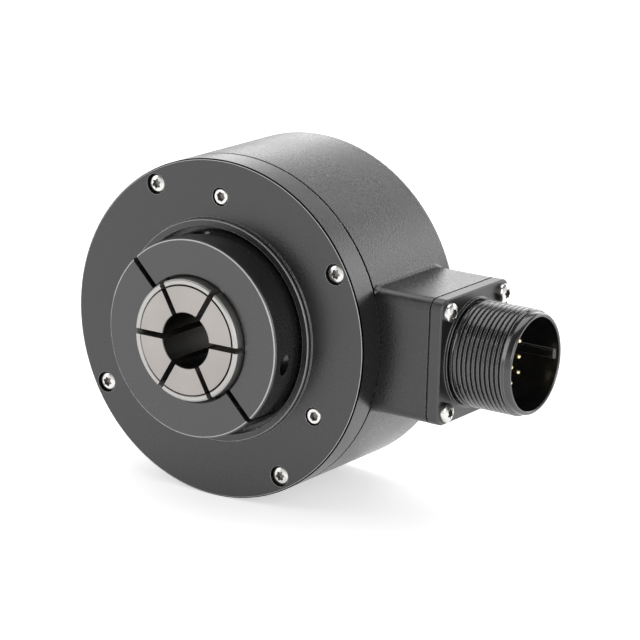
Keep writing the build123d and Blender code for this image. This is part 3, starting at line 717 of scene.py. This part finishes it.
# Outline of the shell as radius and X: from its rear barrel over the plate to the
# thread, and from the thread over the mouth and the socket's bore back to the rear.
# The square plate's radius is a function of the angle.
TO_THREAD = ((10.5, 53.6), (13.5, 53.6), (13.5, PLATE_BACK), (plate_radius, PLATE_BACK),
             (plate_radius, PLATE_FACE - PLATE_BREAK), (plate_front, PLATE_FACE),
             (14.9, PLATE_FACE), (14.8, 64.9), (14.8, 65.5), (14.7, 65.6), (13.25, 65.6))
TO_REAR = ((13.65, 82.3), (13.65, 83.1), (13.5, 83.45), (13.3, 83.68), (13.1, MOUTH_X),
           (12.7, MOUTH_X), (12.5, 83.6), (12.5, 55.0), (10.5, 55.0), (10.5, 53.6))


def around(x, angle, radius, y=CONNECTOR_Y, z=0.0):
    """Point around a line along X, which is the connector's axis if y and z aren't given."""
    return Vector((x, y + radius * math.cos(angle), z + radius * math.sin(angle)))


def shell_angles():
    """Even angles, with more of them on the plate's round corners."""
    values = {round(a, 9) for a in turns(SHELL_SIDES)}
    middle = PLATE_HALF - PLATE_ROUND
    for quarter in range(4):
        for step in range(CORNER_STEPS + 1):
            turn = math.radians(90 / CORNER_STEPS * step)
            y = middle + PLATE_ROUND * math.cos(turn)
            z = middle + PLATE_ROUND * math.sin(turn)
            values.add(round(math.atan2(z, y) + quarter * math.pi / 2, 9))
    return sorted(values)


def make_connector_shell(material, plate_material):
    """Plate, threaded barrel, lead-in, socket bore and rear barrel in one surface."""
    angles = shell_angles()

    def row(radius, x):
        return [around(x, a, radius(a) if callable(radius) else radius) for a in angles]

    rows = [row(*place) for place in TO_THREAD]
    rows += thread_rows(angles)
    rows += [row(*place) for place in TO_REAR]
    grids = [(rows, None), key_grid()]
    piece = mesh_piece("connector_shell_threaded", grids, material, "casing", SHELL_SHARP)
    piece.data.materials.append(plate_material)
    for polygon in piece.data.polygons:
        if polygon.center.x < PLATE_FACE * MM + SLACK_M:
            polygon.material_index = 1
    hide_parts("connector_shell")


def thread_rows(angles):
    """Rows that follow the thread's helix, cut flat at both ends."""
    turns_long = math.ceil((THREAD_END - THREAD_START) / THREAD_PITCH) + 1
    rows = []
    for turn in range(-1, turns_long):
        for share, crest in THREAD_PROFILE:
            points = []
            for a in angles:
                x = THREAD_START + THREAD_PITCH * (turn + share + a / (2 * math.pi))
                x = min(max(x, THREAD_START), THREAD_END)
                end = min(1.0, (x - THREAD_START) / THREAD_RUN_IN,
                          (THREAD_END - x) / THREAD_RUN_OUT)
                points.append(around(x, a, THREAD_R - THREAD_DEPTH + THREAD_DEPTH * crest * end))
            rows.append(points)
    return rows


def key_grid():
    """Key along the socket's far wall, with a rounded top and end."""
    rows = [[Vector((x, CONNECTOR_Y + y, z)) for y, z in KEY_OUTLINE]
            for x in (KEY_START, KEY_END - KEY_BREAK)]
    rows.append([Vector((KEY_END, CONNECTOR_Y + max(y, KEY_END_TOP), z * KEY_END_WIDTH))
                 for y, z in KEY_OUTLINE])
    return rows, Vector((KEY_END, CONNECTOR_Y + KEY_END_POINT, 0))


def make_pins(material):
    """Round contacts with domed ends, in three columns."""
    angles = turns(PIN_SIDES)
    profile = [(CENTRE_R, PIN_START), (PIN_R, PIN_START), (PIN_R, PIN_DOME)]
    for step in range(1, PIN_DOME_STEPS):
        t = step * math.pi / 2 / PIN_DOME_STEPS
        profile.append((PIN_R * math.cos(t), PIN_DOME + PIN_R * math.sin(t)))
    grids = []
    for column, count in enumerate(PIN_COLUMNS):
        y = CONNECTOR_Y + (column - 1) * PIN_COLUMN_GAP
        for i in range(count):
            z = (i - (count - 1) / 2) * PIN_GAP
            rows = [[around(x, a, r, y, z) for a in angles] for r, x in profile]
            grids.append((rows, Vector((PIN_DOME + PIN_R, y, z))))
    piece = mesh_piece("connector_pin_set", grids, material, "casing", PIN_SHARP)
    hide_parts("connector_pins")


def dress_nodes(materials):
    """Give every carried-over solid the material of its slot."""
    slots = {part["node"]: part["material_slot"] for part in frame["record"]["subparts"]}
    for name, node in nodes.items():
        node.data.materials.clear()
        node.data.materials.append(materials[slots[name]])


make_camera()
make_world()
make_floor()
add_lamp("top_softbox", (-0.2, 0.4, 1.1), (0, 0.02, 0), (1.6, 0.9), 9.0)
add_lamp("left_softbox", (-1.0, -0.7, 0.55), (0, 0, 0), (0.8, 0.9), 4.0)
add_lamp("right_softbox", (1.1, -0.5, 0.5), (0.05, 0, 0), (0.6, 0.8), 4.0)
add_lamp("back_softbox", (0, 1.5, 0.5), (0, 0, 0), (2.4, 0.7), 10.5)

materials = make_materials()
dress_nodes(materials)
screw_steel = make_material("screw_steel", (0.7, 0.69, 0.67), 0.2, 1.0, spread=0.05,
                            grain=(0.25, 0.01, 0.2))
# Painted shade: the recesses of the screws are a darker steel
screw_recess_shade = make_material("screw_recess_shade", (0.3, 0.29, 0.28), 0.35, 1.0, spread=0.1,
                             grain=(0.25, 0.01, 0.2))
make_cover_screws(screw_steel, screw_recess_shade)
make_tether_screws(screw_steel, screw_recess_shade)
make_connector_screws(screw_steel, screw_recess_shade)
make_clamp_screws(screw_steel, screw_recess_shade)
# Its edges carry a painted highlight
plate_black = make_material("connector_plate", (0.009, 0.009, 0.0095), 0.36, spread=0.08,
                            grain=(0.4, 0.02, 0.3), edges=(0.08, (0.5, 0.5, 0.505), 2.0),
                            specular=0.85)
make_connector_shell(materials["shell_black"], plate_black)
make_pins(materials["contact_gold"])

bpy.context.scene.view_settings.view_transform = "Standard"
